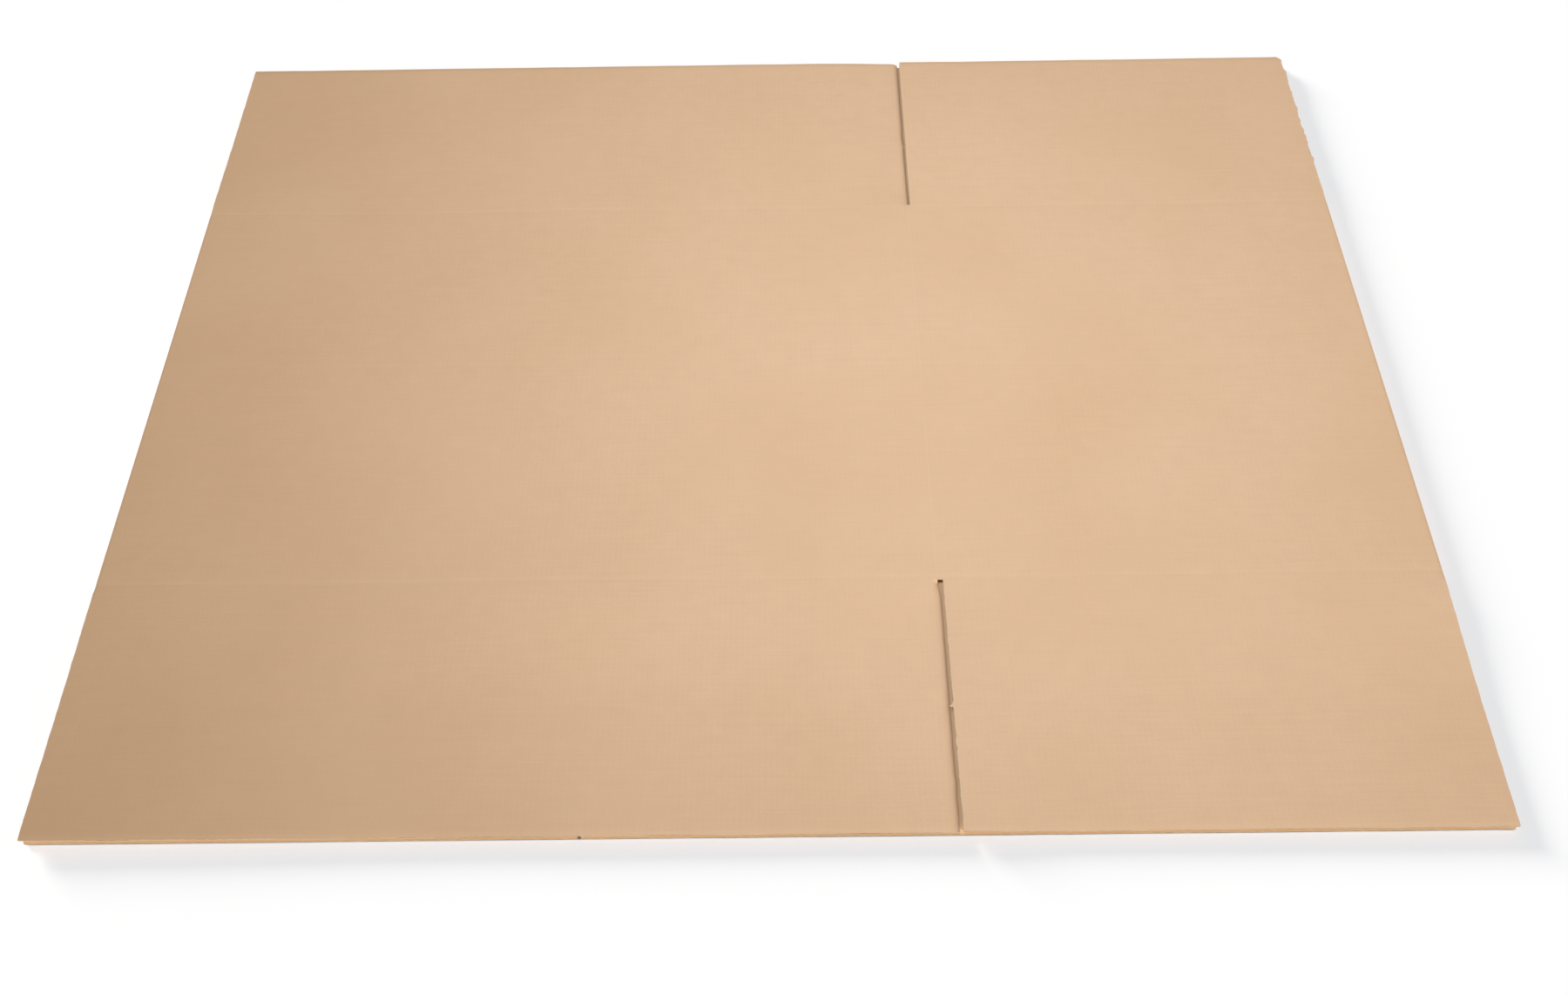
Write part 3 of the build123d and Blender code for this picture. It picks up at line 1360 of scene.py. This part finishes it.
@dataclass
class GlueTab(Maker):
    """The tab of the long panel, pressed thin and glued inside the lower short panel."""

    reach: float = 35.0
    root: float = 6.0
    pressed: float = 2.2
    taper: float = 12.0
    end_gap: float = 4.0
    lip_width: float = 1.5
    lip_depth: float = 0.5
    across_step: float = 8.0
    along_step: float = 0.05  # as a share of half its length
    rim_start: float = 0.99

    def build(self) -> list[Piece]:
        """Builds the tab as a closed slab whose ends taper towards its free edge.

        Its half length falls linearly from the crease to the free edge, and its top sinks by a
        rounded lip all round.

        Returns:
            The tab alone.
        """
        blank, lip = self.form.blank, self.lip_width
        half_length = blank.half_body - blank.crease_width - self.end_gap
        across = spaced(0, self.reach - lip, self.across_step)
        across = lines([-self.root, -self.root + lip], across, [self.reach])
        along = lines([-1, 1], spaced(-self.rim_start, self.rim_start, self.along_step))
        u, v = np.meshgrid(across, along, indexing="ij")
        half = half_length - self.taper * np.clip(u / self.reach, 0, 1)
        x, y = blank.short_panel - blank.half_width - u, half * v
        rim = np.minimum.reduce([u + self.root, self.reach - u, half - np.abs(y)])
        level = np.full_like(x, blank.board.thickness)
        top_level = level + self.pressed - self.lip_depth * (1 - smooth_step(rim / lip))
        top, under = (np.stack([x, y, z], axis=-1) * MM for z in (top_level, level))
        piece, _ = closed_sheet("glue_tab", under, top, np.ones((len(across) - 1, len(along) - 1), bool))
        return [dress(piece, self.finishes.fluting, self.finishes.fluting, self.finishes.cut)]


# The studio


@dataclass(frozen=True)
class FarLamp:
    """A lamp as far away as the sun.

    Attributes:
        name: Its name.
        tilt: Angle from straight overhead, in degrees.
        heading: Turn about Z, in degrees; at 0 it stands in front, towards -Y.
        spread: Angle that it covers in the sky, in degrees.
    """

    name: str
    tilt: float
    heading: float
    spread: float

    def light(self, level: Sequence[float]) -> bpy.types.Light:
        """Makes the lamp's light, which lights a level white matt surface to a given level.

        Args:
            level: Red, green and blue level, where 1 renders white as white.

        Returns:
            The light.
        """
        light = bpy.data.lights.new(self.name, "SUN")
        most = max(level)
        light.energy = most / math.cos(math.radians(self.tilt)) * math.pi
        light.color = [v / most for v in level]
        light.angle = math.radians(self.spread)
        return light


@dataclass
class Studio:
    """White floor, soft light and the photograph's camera.

    The room, the sky lamp and the front fill light a level surface of the box to the ambient
    level together, and the softbox comes on top. The floor has an overhead and a low lamp.

    Attributes:
        lens: Focal length in mm, on a sensor of the next width.
        place: The camera's place, in metres.
        turn: The camera's turn, in degrees about X, Y and Z.
        ambient: Red, green and blue level of the even light on the box.
        room_light: Share of the ambient level that comes from all sides.
        front_light: Share of the front fill, which is on the box's front edge.
        floor_light: Level of the floor.
        low_light: Share of the low lamp, which throws the box's shadow.
    """

    lens: float = 28.672
    sensor: float = 36.0
    place: tuple[float, float, float] = (0.01809, -0.57522, 0.78213)
    turn: tuple[float, float, float] = (31.072, 0.662, -0.406)
    ambient: tuple[float, float, float] = (0.60, 0.56, 0.50)
    room_light: float = 0.35
    front_light: float = 0.28
    front_colour: tuple[float, float, float] = (0.56, 0.555, 0.54)
    softbox_power: float = 6.76
    softbox_colour: tuple[float, float, float] = (0.797, 0.875, 1.0)
    softbox_place: tuple[float, float, float] = (-0.0705, -0.151, 0.909)
    softbox_turn: tuple[float, float, float] = (25.4, -56.8, 0.0)
    softbox_size: tuple[float, float] = (0.468, 0.178)
    floor_light: float = 1.02
    low_light: float = 0.218
    low_colour: tuple[float, float, float] = (1.04, 1.0, 0.93)
    sky: FarLamp = FarLamp("sky", 48.0, 65.0, 65.0)
    front_fill: FarLamp = FarLamp("front_fill", 75.0, -15.0, 30.0)
    overhead: FarLamp = FarLamp("floor_overhead", 0.0, 0.0, 4.0)
    low: FarLamp = FarLamp("floor_low", 74.6, 228.4, 18.0)
    far_place: tuple[float, float, float] = (0.0, 0.0, 2.0)
    floor_half: float = 4.0
    floor_level: float = -0.0003

    def camera(self) -> None:
        """Makes the camera."""
        data = bpy.data.cameras.new("photo_camera")
        data.sensor_fit, data.sensor_width, data.lens = "HORIZONTAL", self.sensor, self.lens
        data.clip_start, data.clip_end = 0.01, 50.0
        camera = bpy.data.objects.new("photo_camera", data)
        camera.location = self.place
        camera.rotation_euler = [math.radians(v) for v in self.turn]
        bpy.context.scene.collection.objects.link(camera)
        bpy.context.scene.camera = camera

    def world(self) -> None:
        """Lights the room evenly and a little warm; what the camera and gloss see is plain white."""
        world = bpy.data.worlds.new("white_room")
        world.use_nodes = True
        tree = world.node_tree
        tree.nodes.clear()
        path = add_node(tree, "ShaderNodeLightPath")
        seen = add_node(
            tree, "ShaderNodeMath",
            {0: path.outputs["Is Camera Ray"], 1: path.outputs["Is Glossy Ray"]}, operation="MAXIMUM",
        ).outputs[0]
        room = (*(self.room_light * v for v in self.ambient), 1.0)
        colour = add_node(
            tree, "ShaderNodeMix", {0: seen, 6: room, 7: (1.0, 1.0, 1.0, 1.0)}, data_type="RGBA"
        ).outputs[2]
        back = add_node(tree, "ShaderNodeBackground", {"Color": colour, "Strength": 1.0})
        add_node(tree, "ShaderNodeOutputWorld", {"Surface": back.outputs["Background"]})
        bpy.context.scene.world = world

    def floor(self) -> Piece:
        """Makes the floor, a white sheet of matt paper under the box.

        Returns:
            The floor.
        """
        half, level = self.floor_half, self.floor_level
        mesh = bpy.data.meshes.new("white_floor")
        corners = [(-half, -half, level), (half, -half, level), (half, half, level), (-half, half, level)]
        mesh.from_pydata(corners, [], [(0, 1, 2, 3)])
        floor = bpy.data.objects.new("white_floor", mesh)
        bpy.context.scene.collection.objects.link(floor)
        material = new_material("white_matt_paper")
        mesh.materials.append(finish_material(material, linear("#FDFDFD"), 1.0, 0.0))
        return floor

    def lamps(self, floor: Piece, pieces: list[Piece]) -> None:
        """Makes the lamps: a softbox and two far ones for the box, and two far ones for the floor.

        Args:
            floor: The floor.
            pieces: Every piece of the box.
        """
        on_box = bpy.data.collections.new("lit_by_softbox")
        on_floor = bpy.data.collections.new("lit_by_floor_lights")
        on_floor.objects.link(floor)
        for piece in pieces:
            on_box.objects.link(piece)

        softbox = bpy.data.lights.new("softbox", "AREA")
        softbox.shape = "RECTANGLE"
        softbox.size, softbox.size_y = self.softbox_size
        softbox.energy, softbox.color = self.softbox_power, self.softbox_colour
        self.hang(softbox, self.softbox_place, self.softbox_turn, on_box)

        front = [self.front_light * v for v in self.front_colour]
        rest = [(1 - self.room_light) * v - f for v, f in zip(self.ambient, front)]
        low = [self.low_light * v for v in self.low_colour]
        above = [self.floor_light - f - self.room_light * v for f, v in zip(low, self.ambient)]
        for lamp, level, lit in (
            (self.sky, rest, on_box), (self.front_fill, front, on_box),
            (self.overhead, above, on_floor), (self.low, low, on_floor),
        ):
            self.hang(lamp.light(level), self.far_place, (lamp.tilt, 0, lamp.heading), lit)

    def hang(
        self,
        light: bpy.types.Light,
        place: Sequence[float],
        turn: Sequence[float],
        lit: bpy.types.Collection,
    ) -> None:
        """Hangs a lamp that lights only one collection and isn't seen itself.

        Args:
            light: The lamp's light.
            place: Its place in metres, which doesn't matter to a far lamp.
            turn: Its turn in degrees about X, Y and Z.
            lit: The objects that it lights.
        """
        lamp = bpy.data.objects.new(light.name, light)
        lamp.location, lamp.rotation_euler = place, [math.radians(v) for v in turn]
        lamp.visible_camera = False
        lamp.light_linking.receiver_collection = lit
        bpy.context.scene.collection.objects.link(lamp)


def main() -> None:
    """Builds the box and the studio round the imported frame."""
    logging.basicConfig(level=logging.INFO, format="%(message)s")
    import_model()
    low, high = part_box(NODE)
    log.info("frame %s: %s to %s", NODE, tuple(low), tuple(high))
    bpy.context.scene.view_settings.view_transform = "Standard"

    blank = Blank()
    form = Form(blank, Wear(blank))
    inside = Kraft(name="kraft_liner_inside", colour="#DAB58C", dark="#CBA377")
    finishes = Finishes(Kraft().material(), inside.material(), Fluting().material(), CutEdge().material())
    pieces: list[Piece] = []
    for maker in (Liners, FlutedPaper, CrushedCore, GlueTab, TornFibres):
        pieces += maker(form, finishes).build()
    for piece in pieces:
        report(piece)

    studio = Studio()
    studio.camera()
    studio.world()
    studio.lamps(studio.floor(), pieces)


if __name__ == "__main__":
    main()
